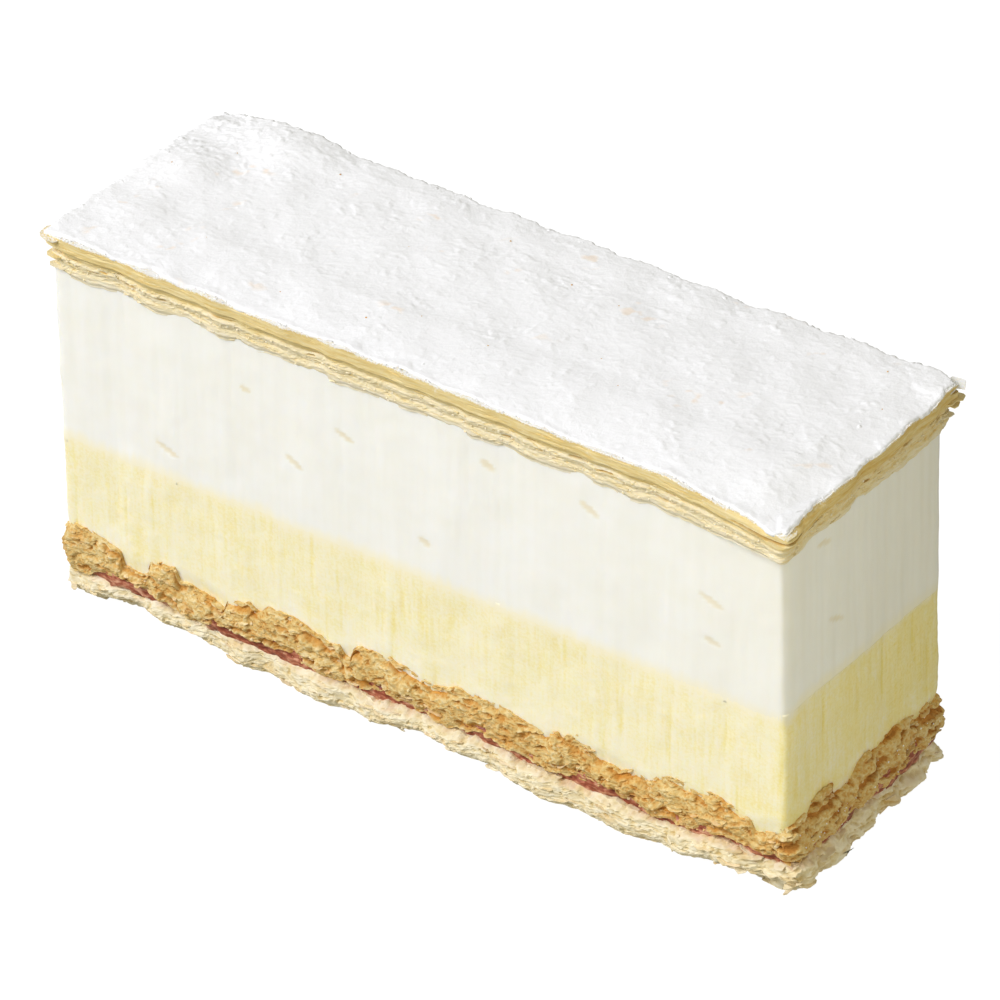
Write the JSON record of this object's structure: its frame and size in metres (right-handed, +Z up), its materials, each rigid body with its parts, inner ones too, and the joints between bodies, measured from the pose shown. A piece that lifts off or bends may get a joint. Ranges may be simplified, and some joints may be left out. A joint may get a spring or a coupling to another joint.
{
  "type": "mille feuille slice",
  "caption": "Cut slice of layered puff pastry with custard and whipped cream, a smear of red jam above the base and a thin pastry lid under powdered sugar.",
  "frame": {"origin": "middle of the underside of the slice's box, on the table", "axes": "+X along the slice, -Y towards the long front cut, +Z up"},
  "size_m": [0.1268, 0.043, 0.0629],
  "materials": {
    "base_pastry": "pale, flaky, dry",
    "jam": "moist, slightly translucent",
    "middle_pastry": "browned, flaky crumb",
    "custard": "smooth knife cut, satin",
    "whipped_cream": "smooth knife cut, matte",
    "top_pastry": "crisp golden leaves",
    "powdered_sugar": "dry powder"
  },
  "bodies": {
    "root": {"base_pastry": "base_pastry", "jam": "jam", "middle_pastry": "middle_pastry", "custard": "custard", "whipped_cream": "whipped_cream", "top_pastry": "top_pastry", "powdered_sugar": "powdered_sugar"}
  },
  "joints": []
}
